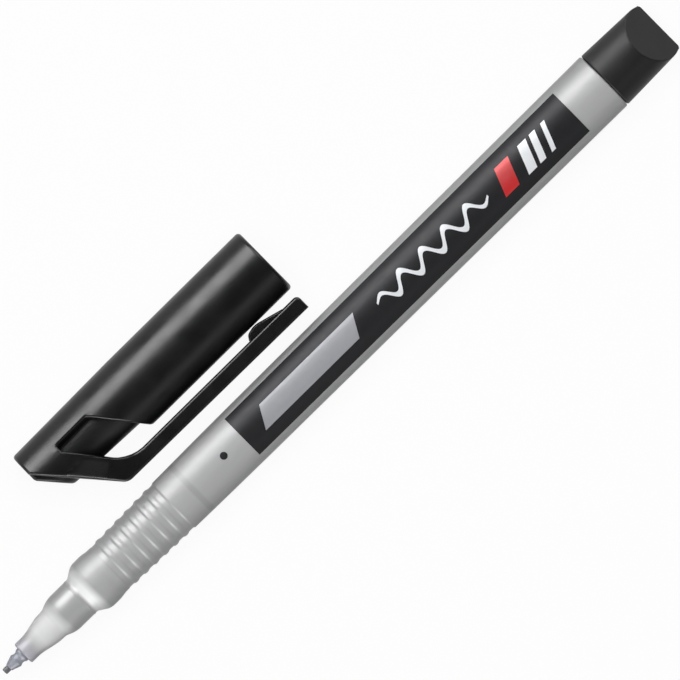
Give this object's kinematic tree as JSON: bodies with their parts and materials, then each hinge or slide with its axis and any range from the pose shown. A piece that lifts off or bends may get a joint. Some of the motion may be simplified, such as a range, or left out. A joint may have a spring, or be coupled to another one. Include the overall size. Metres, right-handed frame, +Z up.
{
  "type": "permanent marker",
  "caption": "Fine permanent marker lying uncapped: tapered barrel with ribbed grip, fibre nib in a sleeve, ink core, slanted rear plug, and a pull-off cap with a sprung clip beside it.",
  "frame": {"origin": "centre of the bottom of the box round the lying pen and its cap, on the surface that they lie on", "axes": "+X along the pen from the nib to the rear plug, +Y from the pen to the cap, +Z up from the surface"},
  "size_m": [0.137, 0.0272, 0.0115],
  "materials": {
    "silver_barrel": "satin silver-grey",
    "nib_fibre": "ink-wet porous rod",
    "sleeve_plastic": "satin lavender-grey",
    "ink_fibre": "ink-soaked fibre",
    "store_film": "clear film",
    "black_plug": "fine matt texture",
    "black_cap": "satin black",
    "black_seal": "matt black",
    "black_clip": "satin black"
  },
  "bodies": {
    "pen": {"barrel": "silver_barrel", "nib": "nib_fibre", "nib_sleeve": "sleeve_plastic", "ink_reservoir": "ink_fibre", "reservoir_film": "store_film", "rear_plug": "black_plug"},
    "cap": {"cap_shell": "black_cap", "inner_cap": "black_seal"},
    "clip": {"clip": "black_clip"}
  },
  "joints": [
    {"name": "cap_slide", "type": "slide", "parent": "pen", "child": "cap", "axis": [-1, 0, 0], "range_m": [0, 0.041]},
    {"name": "clip_flex", "type": "hinge", "parent": "cap", "child": "clip", "pos_m": [-0.03619, 0.00201, 0.00573], "axis": [0, 0, -1], "range_deg": [0, 3], "stiffness_Nm_per_rad": 0.7}
  ]
}
